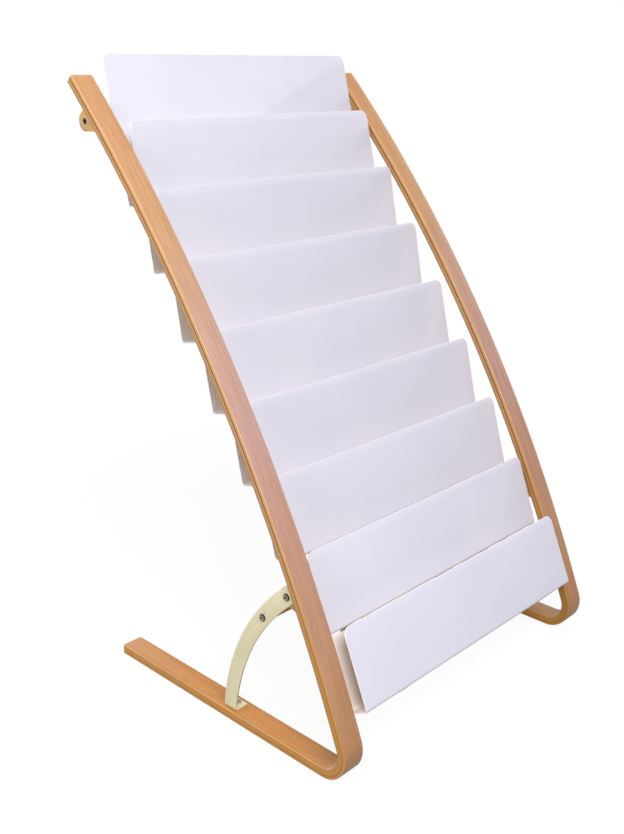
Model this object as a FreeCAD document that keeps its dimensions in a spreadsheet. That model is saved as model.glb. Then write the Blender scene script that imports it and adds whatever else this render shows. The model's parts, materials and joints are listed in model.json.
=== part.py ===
"""Periodical display rack.

Two side frames, each one strip of laminated beech bent into a foot and a long bowed upright,
carry eight stepped trays of bent sheet steel.  A cross tube between wooden lugs at the top and
a cross rail between two steel braces at the bottom hold a pair of hidden steel carriers.  The
ledge of every tray lies on tabs welded to these carriers, and the tall back of the top tray
leans on their upper ends.

Frame: millimetres, +Z up, the magazines face -Y, +X to the right, origin on the floor below
the middle of the rack.
"""
import FreeCAD, Part
import math
import os
import Sketcher
from types import SimpleNamespace
from FreeCAD import Placement, Rotation, Vector

SIZES = {
    # side frames: one bent strip each
    "overall_width": 910,
    "strip_width": 55,
    "strip_thickness": 22,
    "foot_length": 679,
    "bend_outer_radius": 67,
    "upright_radius": 3920,
    "upright_start_lean": 20.9,
    "upright_end_lean": 43.4,
    "foot_end_radius": 5,
    # wooden lugs behind the uprights
    "lug_tail_angle": 50,
    "upper_lug_radius": 21.5,
    "upper_lug_set_back": 12,
    "upper_lug_from_top": 100,
    "lower_lug_radius": 21,
    "lower_lug_set_back": 22,
    "lower_lug_above_bend": 322,
    # flat steel braces from the feet to the lower lugs
    "brace_inset": 8,
    "brace_thickness": 3,
    "brace_width": 38,
    "brace_radius": 534,
    "brace_foot_from_bend": 288,
    "brace_end_gap": 3,
    "brace_bend_radius": 3,
    "brace_tab_length": 36,
    "brace_tab_screw": 27.5,
    "rail_from_lug": 104,
    # cross members
    "tube_size": 16,
    "tube_wall": 2,
    "tube_corner_radius": 1.5,
    "insert_length": 30,
    "rail_depth": 36,
    "rail_height": 20,
    "rail_arris_radius": 2,
    # carriers
    "carrier_spacing": 520,
    "strap_width": 40,
    "strap_thickness": 4,
    "strap_bend_radius": 20,
    "strap_bend_to_tray_line": 11.3,
    "strap_above_tube": 20,
    "strap_below_last_tab": 14,
    "strap_corner_radius": 6,
    "tab_width": 30,
    "tab_thickness": 3,
    "tab_reach": 44,
    # trays
    "tray_end_gap": 10,
    "tray_depth": 54,
    "sheet_thickness": 2,
    "lip_height": 180,
    "back_height": 149,
    "tall_back_height": 335,
    "last_back_height": 158,
    "tray_bend_radius": 5,
    "lip_corner_radius": 20,
    "back_corner_radius": 8,
    "tray_spacing": 166.7,
    "tray_lean": 10.4,
    "top_tray_lean": 13.2,
    "tray_4_lean": 12.8,
    "tray_5_lean": 13,
    "tray_6_lean": 16,
    "tray_7_lean": 20,
    "tray_8_lean": 22.6,
    "top_ledge_below_strap_end": 214,
    "last_tray_set_out": 14.6,
    "tube_above_strap_bend": 202.3,
    # screws and bolts
    "bolt_diameter": 8,
    "bolt_head_diameter": 13,
    "bolt_head_height": 8,
    "bush_wall": 1.5,
    "bush_floor": 2,
    "bush_clearance": 0.2,
    "bolt_recess": 1.5,
    "bolt_reach": 22,
    "brace_screw_diameter": 6,
    "brace_screw_length": 42,
    "brace_screw_head_diameter": 16,
    "brace_screw_head_height": 4,
    "foot_screw_diameter": 5,
    "foot_screw_length": 20,
    "foot_screw_head_diameter": 11,
    "foot_screw_head_height": 3,
    "rail_screw_diameter": 6,
    "rail_screw_length": 26,
    "rail_screw_head_diameter": 11,
    "rail_screw_head_height": 2.8,
}
TRAYS = 8                # trays from top to bottom
UPRIGHT_TRAYS = 3        # the last tray, from the top, on tray_lean; lower ones have their own
SIDES = {"left": -1, "right": 1}
TRAY_WIDTH = "(Sizes.overall_width - 2 * Sizes.strip_width - 2 * Sizes.tray_end_gap)"

doc = FreeCAD.newDocument("PeriodicalRack")
sheet = doc.addObject("Spreadsheet::Sheet", "Sizes")
for row, (alias, number) in enumerate(SIZES.items(), 1):
    sheet.set("A%d" % row, alias.replace("_", " "))
    sheet.set("B%d" % row, str(number))
    sheet.setAlias("B%d" % row, alias)
doc.recompute()
S = SimpleNamespace(**{alias: float(sheet.get(alias)) for alias in SIZES})
nodes = {}               # node name to the object whose shape is that piece


# ---------------------------------------------------------------- points and directions (Y, Z)

def up(lean):
    """Unit vector that rises and leans back by lean degrees."""
    return Vector(0, math.sin(math.radians(lean)), math.cos(math.radians(lean)))


def back(lean):
    """Unit vector square to up(lean), pointing to the rear."""
    return Vector(0, math.cos(math.radians(lean)), -math.sin(math.radians(lean)))


def leaned(lean, point):
    """Placement whose local Z is up(lean) and whose local Y is back(lean)."""
    return Placement(point, Rotation(Vector(1, 0, 0), -lean))


def lowered(centre, point, arc_length, radius):
    """The point moved by arc_length about the centre, from +Z towards +Y."""
    angle = math.degrees(arc_length / radius)
    return centre + Rotation(Vector(1, 0, 0), -angle).multVec(point - centre)


def circle_line(centre, radius, point, direction):
    """Where the ray from the point along the unit direction leaves the circle."""
    offset = point - centre
    half = offset.dot(direction)
    return point + direction * (math.sqrt(half ** 2 - offset.dot(offset) + radius ** 2) - half)


# ---------------------------------------------------------------- layout of the rack

class Layout:
    """Places of the pieces, worked out from the frame to the trays."""

    def __init__(self):
        r_bend, r_up, thick = S.bend_outer_radius, S.upright_radius, S.strip_thickness
        self.rear_radius = r_up - thick
        # with the bend's centre at y = 0
        bend = Vector(0, 0, r_bend)
        bow = bend + back(S.upright_start_lean) * (r_up - r_bend)
        rear_top = bow - back(S.upright_end_lean) * self.rear_radius
        self.place(bend, bow)
        front = min(-r_bend, self.front_of_trays())
        shift = Vector(0, -(front + rear_top.y) / 2, 0)
        self.place(bend + shift, bow + shift)

    def place(self, bend, bow):
        self.bend, self.bow = bend, bow
        self.frame_origin = Vector(0, bend.y, 0)
        self.place_lugs()
        self.place_brace()
        self.place_carriers()
        self.place_trays()

    def place_lugs(self):
        per_degree = math.radians(self.rear_radius)
        self.upper_lean = S.upright_end_lean - S.upper_lug_from_top / per_degree
        self.lower_lean = S.upright_start_lean + S.lower_lug_above_bend / per_degree
        upper_radius = self.rear_radius - S.upper_lug_set_back
        lower_radius = self.rear_radius - S.lower_lug_set_back
        self.tube = self.bow - back(self.upper_lean) * upper_radius
        self.lower_lug = self.bow - back(self.lower_lean) * lower_radius

    def place_brace(self):
        self.brace_foot = Vector(0, self.bend.y + S.brace_foot_from_bend, S.strip_thickness)
        chord = self.lower_lug - self.brace_foot
        rise = math.sqrt(S.brace_radius ** 2 - chord.Length ** 2 / 4)
        forward = Vector(0, -chord.z, chord.y) / chord.Length
        self.brace_centre = self.brace_foot + chord / 2 + forward * rise
        self.rail = lowered(self.brace_centre, self.lower_lug, S.rail_from_lug, S.brace_radius)

    def place_carriers(self):
        """Front face of the straps: it rises from the rail, bends, and passes the tube."""
        lean = S.tray_lean
        beside_tube = self.tube - back(lean) * (S.tube_size / 2 + S.strap_thickness)
        self.strap_bend = beside_tube - up(lean) * S.tube_above_strap_bend
        self.strap_end = beside_tube + up(lean) * S.strap_above_tube
        reach = self.strap_bend - self.rail
        to_rail = S.rail_depth / 2 + S.strap_thickness
        self.rake = (math.degrees(math.atan2(reach.y, reach.z))
                     + math.degrees(math.asin(to_rail / reach.Length)))

    def place_trays(self):
        """Lean and outer lower front corner of each tray."""
        ledge_end = self.strap_end - up(S.top_tray_lean) * S.top_ledge_below_strap_end
        self.leans = [S.top_tray_lean]
        self.fronts = [ledge_end - back(S.top_tray_lean) * S.tray_depth]
        line_start = (self.strap_bend - back(S.tray_lean) * S.tray_depth
                      + up(S.tray_lean) * (S.strap_bend_to_tray_line + S.lip_height))
        for k in range(1, TRAYS):
            lean = S.tray_lean if k < UPRIGHT_TRAYS else getattr(S, "tray_%d_lean" % (k + 1))
            lip = line_start - up(self.rake) * (S.tray_spacing * k)
            if k == TRAYS - 1:
                lip -= back(self.rake) * S.last_tray_set_out
            self.leans.append(lean)
            self.fronts.append(lip - up(lean) * S.lip_height)

    def front_of_trays(self):
        """Foremost y of the round bends below the lips."""
        round_off = S.tray_bend_radius + S.sheet_thickness
        places = []
        for lean, corner in zip(self.leans, self.fronts):
            centre = corner + up(lean) * round_off + back(lean) * round_off
            places.append(centre.y - round_off)
        return min(places)

    def rear_corner(self, k):
        """Outer lower rear corner of tray k."""
        return self.fronts[k] + back(self.leans[k]) * S.tray_depth

    def strap_lean(self, k):
        """Lean of the stretch of strap behind tray k."""
        return S.tray_lean if k == 0 else self.rake

    def to_strap(self, k):
        """Distance along tray k's ledge from its rear corner to the front of the strap."""
        across = back(self.strap_lean(k))
        return (self.strap_bend - self.rear_corner(k)).dot(across) / back(self.leans[k]).dot(across)


L = Layout()


# ---------------------------------------------------------------- modelling helpers

def new_body(name, placement=None):
    body = doc.addObject("PartDesign::Body", name)
    body.Label = name
    if placement:
        body.Placement = placement
    return body


def new_sketch(body, role="YZ_Plane", start="0"):
    """Sketch on a plane of the body's origin, moved along its normal by the start expression."""
    sketch = body.newObject("Sketcher::SketchObject", body.Name + "_sketch")
    plane = [plane for plane in body.Origin.OriginFeatures if plane.Role == role][0]
    sketch.AttachmentSupport = [(plane, "")]
    sketch.MapMode = "FlatFace"
    sketch.setExpression("AttachmentOffset.Base.z", start)
    return sketch


def present(sketch, kind, places):
    """The value that a new constraint has before it moves anything."""
    if kind == "Radius":
        return sketch.Geometry[places[0]].Radius
    span = sketch.getPoint(*places[2:]) - sketch.getPoint(*places[:2])
    return span.x if kind == "DistanceX" else span.y


def bind(sketch, name, value, kind, *places):
    """Add a constraint whose value is an expression on the sheet, or a number."""
    bound = isinstance(value, str)
    first = present(sketch, kind, places) if bound else value
    index = sketch.addConstraint(Sketcher.Constraint(kind, *places, first))
    sketch.renameConstraint(index, name)
    if bound:
        sketch.setExpression("Constraints." + name, value)


def polygon(sketch, corners):
    """Closed outline; each corner is a pair of numbers or expressions on the sheet."""
    count = len(corners)
    for i in range(count):
        turn, turn_next = 2 * math.pi * i / count, 2 * math.pi * (i + 1) / count
        start = Vector(math.cos(turn), math.sin(turn), 0)
        end = Vector(math.cos(turn_next), math.sin(turn_next), 0)
        sketch.addGeometry(Part.LineSegment(start, end))
    for i in range(count):
        sketch.addConstraint(Sketcher.Constraint("Coincident", i, 2, (i + 1) % count, 1))
    for i, (across, along) in enumerate(corners):
        bind(sketch, "across%d" % i, across, "DistanceX", -1, 1, i, 1)
        bind(sketch, "along%d" % i, along, "DistanceY", -1, 1, i, 1)


def circle(sketch, across, along, radius):
    index = sketch.addGeometry(Part.Circle(Vector(1, 1, 0), Vector(0, 0, 1), 1))
    bind(sketch, "radius%d" % index, radius, "Radius", index)
    bind(sketch, "across%d" % index, across, "DistanceX", -1, 1, index, 3)
    bind(sketch, "along%d" % index, along, "DistanceY", -1, 1, index, 3)


def pad(body, sketch, length):
    feature = body.newObject("PartDesign::Pad", body.Name + "_pad")
    feature.Profile = sketch
    feature.setExpression("Length", length)
    sketch.Visibility = False
    return feature


def pocket(body, sketch, depth):
    """Cut along the sketch's normal."""
    feature = body.newObject("PartDesign::Pocket", body.Name + "_pocket")
    feature.Profile = sketch
    feature.Reversed = True
    feature.setExpression("Length", depth)
    return feature


def fillet(body, base, radius, picked):
    """Round the edges of the base whose centres are picked."""
    doc.recompute()
    edges = ["Edge%d" % i for i, edge in enumerate(base.Shape.Edges, 1)
             if picked(edge.CenterOfMass)]
    feature = body.newObject("PartDesign::Fillet", body.Name + "_fillet")
    feature.Base = (base, edges)
    feature.setExpression("Radius", radius)
    return feature


def near(*places):
    """Test for an edge centre at one of the places."""
    return lambda centre: any(centre.distanceToPoint(place) < 0.05 for place in places)


def from_outside(side, inset, depth):
    """Lower x, as an expression, of a slab inset from the rack's outer side."""
    if side < 0:
        return "-Sizes.overall_width / 2 + %s" % inset
    return "Sizes.overall_width / 2 - %s - (%s)" % (inset, depth)


def group(name, members):
    compound = doc.addObject("Part::Compound", name)
    compound.Label = name
    compound.Links = members
    return compound


def copies(model, placements):
    """Links that move the model from its own place by each of the placements."""
    links = []
    for placement in placements:
        link = doc.addObject("App::Link", model.Name + "_at")
        link.LinkedObject = model
        link.LinkTransform = True
        link.LinkPlacement = placement
        links.append(link)
    return links


def keep(name, thing):
    """The thing as a node of its own."""
    thing.Label = name
    nodes[name] = thing


def bored(name, blank, tools):
    """The blank with the room for its screws cut out, kept as a node."""
    cut = doc.addObject("Part::Cut", name + "_bored")
    blank.Label = name + "_blank"
    cut.Base = blank
    cut.Tool = fused(name + "_bores", *tools) if len(tools) > 1 else tools[0]
    keep(name, cut)


# ---------------------------------------------------------------- screws

def cylinder(name, radius, height, lift="0"):
    shape = doc.addObject("Part::Cylinder", name)
    shape.setExpression("Radius", radius)
    shape.setExpression("Height", height)
    shape.setExpression("Placement.Base.z", lift)
    return shape


def fused(name, *shapes):
    fuse = doc.addObject("Part::MultiFuse", name)
    fuse.Shapes = list(shapes)
    return fuse


def screw(name, size, length, sunk=False):
    """Screw along Z, seated at z = 0, as a plain blank to bore with and with its hex socket."""
    radius = "Sizes.%s_diameter / 2" % size
    head_radius = "Sizes.%s_head_diameter / 2" % size
    head_height = "Sizes.%s_head_height" % size
    shank = cylinder(name + "_shank", radius, length, "-(%s)" % length)
    if sunk:
        head = doc.addObject("Part::Cone", name + "_head")
        head.setExpression("Radius1", radius)
        head.setExpression("Radius2", head_radius)
        head.setExpression("Height", head_height)
        head.setExpression("Placement.Base.z", "-" + head_height)
        top = "0"
    else:
        head = cylinder(name + "_head", head_radius, head_height)
        top = head_height
    blank = fused(name + "_plain", shank, head)
    socket = doc.addObject("Part::Prism", name + "_socket")
    socket.Polygon = 6
    socket.setExpression("Circumradius", head_radius + " * 0.5")
    socket.setExpression("Height", head_height + " * 0.6")
    socket.setExpression("Placement.Base.z", "%s - %s * 0.6" % (top, head_height))
    finished = doc.addObject("Part::Cut", name)
    finished.Base = blank
    finished.Tool = socket
    return SimpleNamespace(blank=blank, finished=finished)


def fasten(name, kind, placements):
    """Put screws at the placements, keep them as one node and give back their bores by place."""
    nodes[name] = group(name, copies(kind.finished, placements))
    return copies(kind.blank, placements)


def sideways(side, inset, point):
    """Screw placement on the outside of the rack, with its head outwards."""
    x = side * (S.overall_width / 2 - inset)
    return Placement(Vector(x, point.y, point.z), Rotation(Vector(0, 1, 0), 90 * side))


# ---------------------------------------------------------------- side frames

def side_frame(name, side):
    """One strip of constant thickness: straight foot, tight bend, long bowed upright."""
    body = new_body(name, Placement(L.frame_origin, Rotation()))
    sketch = new_sketch(body, start=from_outside(side, "0", "Sizes.strip_width"))
    bend, bow = L.bend - L.frame_origin, L.bow - L.frame_origin
    low, high = (math.radians(180 - lean) for lean in (S.upright_start_lean, S.upright_end_lean))

    def arc(centre, radius, start, end):
        whole = Part.Circle(Vector(centre.y, centre.z, 0), Vector(0, 0, 1), radius)
        return sketch.addGeometry(Part.ArcOfCircle(whole, start, end))

    def line(y1, z1, y2, z2):
        return sketch.addGeometry(Part.LineSegment(Vector(y1, z1, 0), Vector(y2, z2, 0)))

    inner_bend = S.bend_outer_radius - S.strip_thickness
    top_front = bow - back(S.upright_end_lean) * S.upright_radius
    top_rear = bow - back(S.upright_end_lean) * L.rear_radius
    sole = line(S.foot_length, 0, 0, 0)
    bend_outside = arc(bend, S.bend_outer_radius, low, 1.5 * math.pi)
    front = arc(bow, S.upright_radius, high, low)
    end = line(top_front.y, top_front.z, top_rear.y, top_rear.z)
    rear = arc(bow, L.rear_radius, high, low)
    bend_inside = arc(bend, inner_bend, low, 1.5 * math.pi)
    foot_top = line(0, S.strip_thickness, S.foot_length, S.strip_thickness)
    heel = line(S.foot_length, S.strip_thickness, S.foot_length, 0)
    for kind, *ends in (
            ("Tangent", sole, 2, bend_outside, 2), ("Tangent", bend_outside, 1, front, 2),
            ("Coincident", front, 1, end, 1), ("Coincident", end, 2, rear, 1),
            ("Tangent", rear, 2, bend_inside, 1), ("Tangent", bend_inside, 2, foot_top, 1),
            ("Coincident", foot_top, 2, heel, 1), ("Coincident", heel, 2, sole, 1),
            ("Coincident", bend_outside, 3, bend_inside, 3), ("Coincident", front, 3, rear, 3),
            ("PointOnObject", sole, 1, -1), ("PointOnObject", bend_outside, 3, -2),
            ("Horizontal", sole), ("Vertical", heel)):
        sketch.addConstraint(Sketcher.Constraint(kind, *ends))
    bind(sketch, "foot_length", "Sizes.foot_length", "DistanceX", -1, 1, sole, 1)
    bind(sketch, "bend_radius", "Sizes.bend_outer_radius", "Radius", bend_outside)
    bind(sketch, "upright_radius", "Sizes.upright_radius", "Radius", front)
    bind(sketch, "thickness", "Sizes.strip_thickness", "DistanceY", heel, 2, heel, 1)
    bind(sketch, "bow_centre", "(Sizes.upright_radius - Sizes.bend_outer_radius)"
         " * cos(Sizes.upright_start_lean)", "DistanceX", -1, 1, front, 3)
    bind(sketch, "top_front", "Sizes.upright_radius * cos(Sizes.upright_end_lean)",
         "DistanceX", end, 1, front, 3)
    bind(sketch, "top_rear", "(Sizes.upright_radius - Sizes.strip_thickness)"
         " * cos(Sizes.upright_end_lean)", "DistanceX", end, 2, front, 3)
    strip = pad(body, sketch, "Sizes.strip_width")
    outer = side * S.overall_width / 2
    heel_edges = [Vector(outer - side * along, S.foot_length, S.strip_thickness / 2)
                  for along in (0, S.strip_width)]
    fillet(body, strip, "Sizes.foot_end_radius", near(*heel_edges))
    return body


# ---------------------------------------------------------------- lugs and braces

def lug(name, side, end, lean, centre, inset, width):
    """Block seated on the upright's rear face: round end, square top, slanting tail."""
    body = new_body(name, leaned(lean, centre))
    sketch = new_sketch(body, start=from_outside(side, inset, width))
    size = "%s_lug" % end
    radius = getattr(S, size + "_radius")
    tail = math.radians(S.lug_tail_angle)
    seat = Vector(L.rear_radius - getattr(S, size + "_set_back"), 0, 0)

    def on_seat(height):
        return Vector(seat.x - math.sqrt(L.rear_radius ** 2 - height ** 2), height, 0)

    touch = Vector(math.cos(tail), -math.sin(tail), 0) * radius
    slant = Vector(-math.sin(tail), -math.cos(tail), 0)
    foot = circle_line(seat, L.rear_radius, touch, slant)
    top, crown = on_seat(radius), Vector(0, radius, 0)
    round_end = Part.Circle(Vector(0, 0, 0), Vector(0, 0, 1), radius)
    seat_face = Part.Circle(seat, Vector(0, 0, 1), L.rear_radius)
    sketch.addGeometry([
        Part.LineSegment(top, crown),
        Part.ArcOfCircle(round_end, -tail, math.pi / 2),
        Part.LineSegment(touch, foot),
        Part.ArcOfCircle(seat_face, seat_face.parameter(top), seat_face.parameter(foot))])
    for first, at, second, there in ((0, 2, 1, 2), (1, 1, 2, 1), (2, 2, 3, 2), (3, 1, 0, 1)):
        sketch.addConstraint(Sketcher.Constraint("Coincident", first, at, second, there))
    sketch.addConstraint(Sketcher.Constraint("Coincident", 1, 3, -1, 1))
    sketch.addConstraint(Sketcher.Constraint("Horizontal", 0))
    seat_radius = "Sizes.upright_radius - Sizes.strip_thickness"
    bind(sketch, "round_end", "Sizes.%s_radius" % size, "Radius", 1)
    bind(sketch, "seat", seat_radius, "Radius", 3)
    bind(sketch, "seat_centre", "%s - Sizes.%s_set_back" % (seat_radius, size),
         "DistanceX", -1, 1, 3, 3)
    sketch.addConstraint(Sketcher.Constraint("PointOnObject", 3, 3, -1))
    pad(body, sketch, width)
    return body


def brace_band(name, side):
    """Curved band of the brace seen from the side, through its whole width across the rack."""
    body = new_body(name)
    sketch = new_sketch(body, start=from_outside(side, "Sizes.brace_inset",
                                                 "Sizes.brace_tab_length"))
    centre = L.brace_centre
    inner, outer = (S.brace_radius + turn * S.brace_width / 2 for turn in (-1, 1))
    along = up(L.lower_lean)
    cut_point = L.bow - back(L.lower_lean) * (L.rear_radius - S.brace_end_gap)

    def at_foot(radius):
        drop = S.strip_thickness - centre.z
        return Vector(0, centre.y + math.sqrt(radius ** 2 - drop ** 2), S.strip_thickness)

    def flat(point):
        return Vector(point.y, point.z, 0)

    corners = [flat(at_foot(inner)), flat(at_foot(outer)),
               flat(circle_line(centre, outer, cut_point, along)),
               flat(circle_line(centre, inner, cut_point, along))]
    rings = [Part.Circle(flat(centre), Vector(0, 0, 1), radius) for radius in (inner, outer)]
    sketch.addGeometry([
        Part.LineSegment(corners[0], corners[1]),
        Part.ArcOfCircle(rings[1], rings[1].parameter(corners[1]), rings[1].parameter(corners[2])),
        Part.LineSegment(corners[2], corners[3]),
        Part.ArcOfCircle(rings[0], rings[0].parameter(corners[0]), rings[0].parameter(corners[3]))])
    for first, at, second, there in ((0, 2, 1, 1), (1, 2, 2, 1), (2, 2, 3, 2), (3, 1, 0, 1)):
        sketch.addConstraint(Sketcher.Constraint("Coincident", first, at, second, there))
    bind(sketch, "outer", "Sizes.brace_radius + Sizes.brace_width / 2", "Radius", 1)
    bind(sketch, "inner", "Sizes.brace_radius - Sizes.brace_width / 2", "Radius", 3)
    pad(body, sketch, "Sizes.brace_tab_length")
    return body


def brace_angle(name, side):
    """Flat steel bent square at its foot, long enough to cover the band."""
    body = new_body(name, Placement(L.brace_foot, Rotation()))
    sketch = new_sketch(body, "XZ_Plane", "-Sizes.brace_radius")
    outer = "%d * (Sizes.overall_width / 2 - Sizes.brace_inset)" % side
    steel = "%d * Sizes.brace_thickness" % side
    reach = "%d * Sizes.brace_tab_length" % side
    polygon(sketch, [(outer, "0"), ("%s - %s" % (outer, reach), "0"),
                     ("%s - %s" % (outer, reach), "Sizes.brace_thickness"),
                     ("%s - %s" % (outer, steel), "Sizes.brace_thickness"),
                     ("%s - %s" % (outer, steel), "Sizes.brace_radius"),
                     (outer, "Sizes.brace_radius")])
    plate = pad(body, sketch, "Sizes.brace_radius * 2")
    x = side * (S.overall_width / 2 - S.brace_inset)
    outside = fillet(body, plate, "Sizes.brace_bend_radius + Sizes.brace_thickness",
                     near(Vector(x, 0, 0)))
    fillet(body, outside, "Sizes.brace_bend_radius",
           near(Vector(x - side * S.brace_thickness, 0, S.brace_thickness)))
    return body


def brace(name, side, bores):
    common = doc.addObject("Part::Common", name + "_steel")
    common.Base = brace_angle(name + "_angle", side)
    common.Tool = brace_band(name + "_band", side)
    bored(name, common, bores)


# ---------------------------------------------------------------- cross members

def cross_tube(name):
    """Square tube between the upper lugs, square to the tall back of the top tray."""
    body = new_body(name, leaned(S.tray_lean, L.tube))
    length = "Sizes.overall_width - 2 * Sizes.strip_width"
    sketch = new_sketch(body, start="-(%s) / 2" % length)
    outside, half = "Sizes.tube_size / 2", S.tube_size / 2
    polygon(sketch, [("-" + outside, "-" + outside), (outside, "-" + outside),
                     (outside, outside), ("-" + outside, outside)])
    solid = pad(body, sketch, length)
    fillet(body, solid, "Sizes.tube_corner_radius",
           near(*[Vector(0, y, z) for y in (-half, half) for z in (-half, half)]))
    hollow = new_sketch(body, start="-(%s) / 2" % length)
    inside = "(Sizes.tube_size / 2 - Sizes.tube_wall)"
    polygon(hollow, [("-" + inside, "-" + inside), (inside, "-" + inside),
                     (inside, inside), ("-" + inside, inside)])
    pocket(body, hollow, length)
    return body


def tube_insert(name, side):
    """Square plug in the tube's end, tapped for the lug's bolt."""
    body = new_body(name, leaned(S.tray_lean, L.tube))
    sketch = new_sketch(body, start=from_outside(side, "Sizes.strip_width", "Sizes.insert_length"))
    inside = "(Sizes.tube_size / 2 - Sizes.tube_wall)"
    polygon(sketch, [("-" + inside, "-" + inside), (inside, "-" + inside),
                     (inside, inside), ("-" + inside, inside)])
    circle(sketch, "0", "0", "Sizes.bolt_diameter / 2")
    pad(body, sketch, "Sizes.insert_length")
    return body


def cross_rail(name):
    """Beech rail between the braces, square to the carriers."""
    body = new_body(name, leaned(L.rake, L.rail))
    length = "Sizes.overall_width - 2 * (Sizes.brace_inset + Sizes.brace_thickness)"
    sketch = new_sketch(body, start="-(%s) / 2" % length)
    deep, high = "Sizes.rail_depth / 2", "Sizes.rail_height / 2"
    polygon(sketch, [("-" + deep, "-" + high), (deep, "-" + high),
                     (deep, high), ("-" + deep, high)])
    solid = pad(body, sketch, length)
    y, z = S.rail_depth / 2, S.rail_height / 2
    fillet(body, solid, "Sizes.rail_arris_radius",
           near(*[Vector(0, j, k) for j in (-y, y) for k in (-z, z)]))
    return body


# ---------------------------------------------------------------- carriers

def strap(name, side):
    """Flat steel strap, bent once, with round corners."""
    body = new_body(name)
    sketch = new_sketch(body, start="%d * Sizes.carrier_spacing / 2 - Sizes.strap_width / 2" % side)
    thick, half_turn = S.strap_thickness, math.radians(L.rake - S.tray_lean) / 2
    last = L.rear_corner(TRAYS - 1) + back(L.leans[-1]) * L.to_strap(TRAYS - 1)
    bottom = last - up(L.rake) * S.strap_below_last_tab
    bisector = (back(L.rake) + back(S.tray_lean)).normalize()
    bend_rear = L.strap_bend + bisector * (thick / math.cos(half_turn))
    outline = [bottom, L.strap_bend, L.strap_end, L.strap_end + back(S.tray_lean) * thick,
               bend_rear, bottom + back(L.rake) * thick]
    polygon(sketch, [(corner.y, corner.z) for corner in outline])
    flat = pad(body, sketch, "Sizes.strap_width")
    x = side * S.carrier_spacing / 2
    inside = fillet(body, flat, "Sizes.strap_bend_radius",
                    near(Vector(x, L.strap_bend.y, L.strap_bend.z)))
    outside = fillet(body, inside, "Sizes.strap_bend_radius + Sizes.strap_thickness",
                     near(Vector(x, bend_rear.y, bend_rear.z)))
    corners = []
    for end, lean in ((bottom, L.rake), (L.strap_end, S.tray_lean)):
        centre = end + back(lean) * (thick / 2)
        for turn in (-1, 1):
            corners.append(Vector(x + turn * S.strap_width / 2, centre.y, centre.z))
    fillet(body, outside, "Sizes.strap_corner_radius", near(*corners))
    return body


def tab(name, side, k):
    """Steel tab under tray k's ledge, cut to seat on the front of the strap."""
    lean = L.leans[k]
    body = new_body(name, leaned(lean, L.rear_corner(k)))
    sketch = new_sketch(body, start="%d * Sizes.carrier_spacing / 2 - Sizes.tab_width / 2" % side)
    root = L.to_strap(k)
    slant = S.tab_thickness * math.tan(math.radians(L.strap_lean(k) - lean))
    polygon(sketch, [(root, "0"), ("-Sizes.tab_reach", "0"),
                     ("-Sizes.tab_reach", "-Sizes.tab_thickness"),
                     (root - slant, "-Sizes.tab_thickness")])
    pad(body, sketch, "Sizes.tab_width")
    return body


# ---------------------------------------------------------------- trays

def tray(name, k):
    """Sheet bent into a lip, a ledge and a back; local origin at the lip's lower corner."""
    height_name = {0: "tall_back_height", TRAYS - 1: "last_back_height"}.get(k, "back_height")
    back_height = "Sizes." + height_name
    body = new_body(name, leaned(L.leans[k], L.fronts[k]))
    sketch = new_sketch(body, start="-%s / 2" % TRAY_WIDTH)
    steel, depth, lip = "Sizes.sheet_thickness", "Sizes.tray_depth", "Sizes.lip_height"
    inside = "%s - %s" % (depth, steel)
    polygon(sketch, [("0", "0"), (depth, "0"), (depth, back_height), (inside, back_height),
                     (inside, steel), (steel, steel), (steel, lip), ("0", lip)])
    section = pad(body, sketch, TRAY_WIDTH)
    sheet_steel, deep = S.sheet_thickness, S.tray_depth
    half = S.overall_width / 2 - S.strip_width - S.tray_end_gap
    outside = fillet(body, section, "Sizes.tray_bend_radius + Sizes.sheet_thickness",
                     near(Vector(0, 0, 0), Vector(0, deep, 0)))
    bent = fillet(body, outside, "Sizes.tray_bend_radius",
                  near(Vector(0, sheet_steel, sheet_steel),
                       Vector(0, deep - sheet_steel, sheet_steel)))
    front = [Vector(x, sheet_steel / 2, S.lip_height) for x in (-half, half)]
    rear = [Vector(x, deep - sheet_steel / 2, getattr(S, height_name)) for x in (-half, half)]
    if k == 0:
        fillet(body, bent, "Sizes.lip_corner_radius", near(*front, *rear))
    else:
        lip_rounded = fillet(body, bent, "Sizes.lip_corner_radius", near(*front))
        fillet(body, lip_rounded, "Sizes.back_corner_radius", near(*rear))
    return body


# ---------------------------------------------------------------- assembly

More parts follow.
